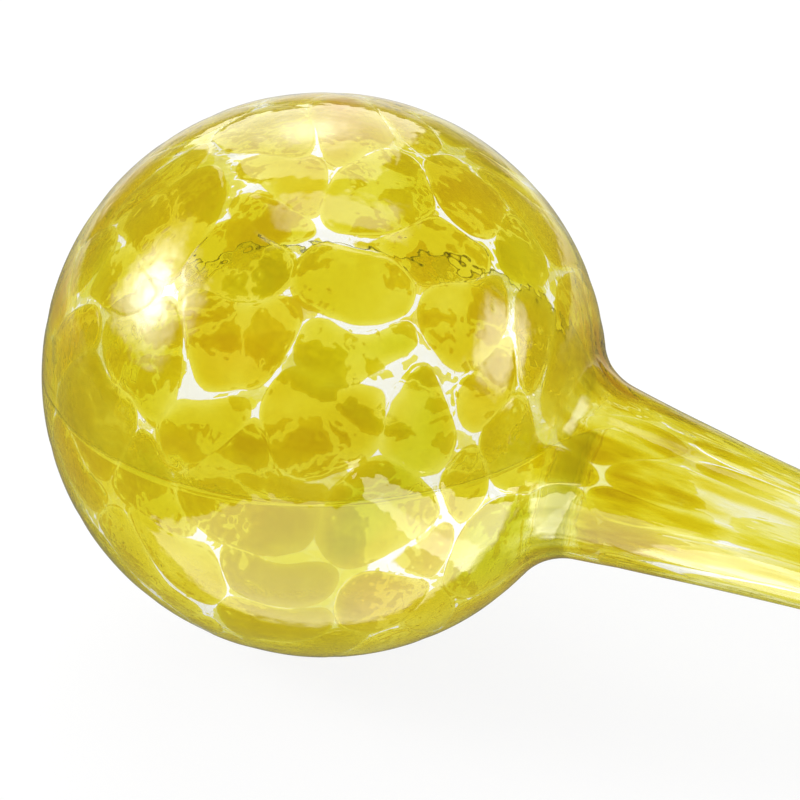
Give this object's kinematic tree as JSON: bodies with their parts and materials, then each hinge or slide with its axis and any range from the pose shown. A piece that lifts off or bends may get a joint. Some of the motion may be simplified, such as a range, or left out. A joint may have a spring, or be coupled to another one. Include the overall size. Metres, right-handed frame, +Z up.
{
  "type": "watering globe",
  "caption": "Hollow glass ball with a long open stem and a mosaic of yellow glass chips; filled with water and pushed stem-first into a pot.",
  "frame": {"origin": "on the surface that the globe lies on, below the middle of its bounding box", "axes": "+Z up, +X from the bulb towards the mouth of the stem, level; the stem's own axis dips 11.3 degrees below +X"},
  "size_m": [0.2177, 0.0811, 0.0804],
  "materials": {
    "clear_glass": "clear, smooth, fire-polished",
    "lemon_glass": "see-through lemon yellow, glossy",
    "yellow_glass": "see-through yellow, glossy",
    "golden_glass": "see-through golden yellow, glossy"
  },
  "bodies": {
    "root": {"clear_bulb": "clear_glass", "clear_neck_and_stem": "clear_glass", "crown_chips": "lemon_glass", "rear_chips": "golden_glass", "girdle_chips": "yellow_glass", "front_chips": "yellow_glass", "shoulder_chips": "golden_glass", "neck_streaks": "golden_glass", "stem_streaks": "yellow_glass", "tip_streaks": "lemon_glass"}
  },
  "joints": []
}
